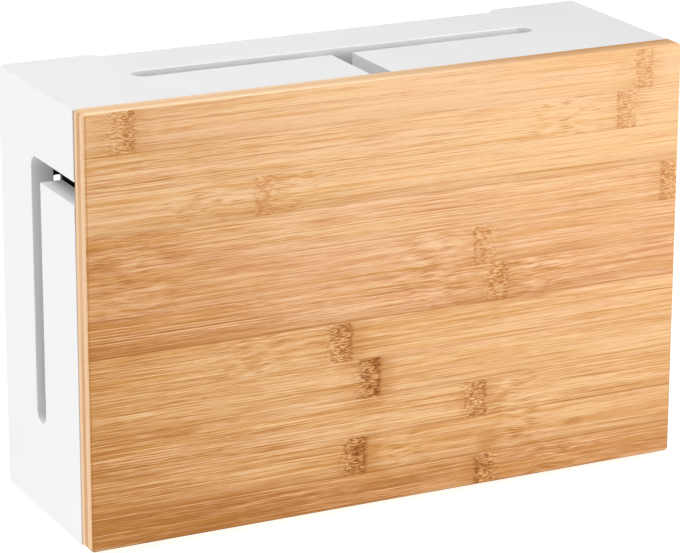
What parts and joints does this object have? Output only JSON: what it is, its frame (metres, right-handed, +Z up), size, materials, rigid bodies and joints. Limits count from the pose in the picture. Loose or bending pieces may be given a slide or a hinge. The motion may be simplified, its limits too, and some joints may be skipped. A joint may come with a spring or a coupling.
{
  "type": "cable management box",
  "caption": "White lacquered board box that hides a power strip, with a T-shaped cable slot in its top, L-shaped slots in its sides and a magnet-held bamboo front board.",
  "frame": {"origin": "on the surface the box stands on, under the middle of its outer box", "axes": "+Z up, -Y towards the bamboo front board, +X to the right seen from the front"},
  "size_m": [0.33, 0.1116, 0.2248],
  "materials": {
    "white_lacquer": "satin white lacquer on medium-density fibreboard",
    "black_hardboard": "matte black stained hardboard",
    "beech_dowel": "raw beech",
    "nickel_magnet": "nickel plated",
    "foot_rubber": "matte translucent grey rubber",
    "bamboo_face": "satin clear lacquer on side-glued bamboo strips",
    "bamboo_core": "caramelised bamboo, strips run upright",
    "bamboo_back": "satin clear lacquer on side-glued bamboo strips",
    "zinc_steel": "zinc plated sheet steel",
    "screw_steel": "zinc plated"
  },
  "bodies": {
    "box": {"top_panel": "white_lacquer", "bottom_panel": "white_lacquer", "left_side_panel": "white_lacquer", "right_side_panel": "white_lacquer", "back_board": "black_hardboard", "joint_dowels": "beech_dowel", "rim_magnets": "nickel_magnet", "bumper_feet": "foot_rubber"},
    "front_board": {"front_face_ply": "bamboo_face", "front_core_ply": "bamboo_core", "front_back_ply": "bamboo_back", "strike_plates": "zinc_steel", "strike_plate_screws": "screw_steel"}
  },
  "joints": [
    {"name": "front_board_pull_off", "type": "slide", "parent": "box", "child": "front_board", "axis": [0, -1, 0], "range_m": [0, 0.15]}
  ]
}
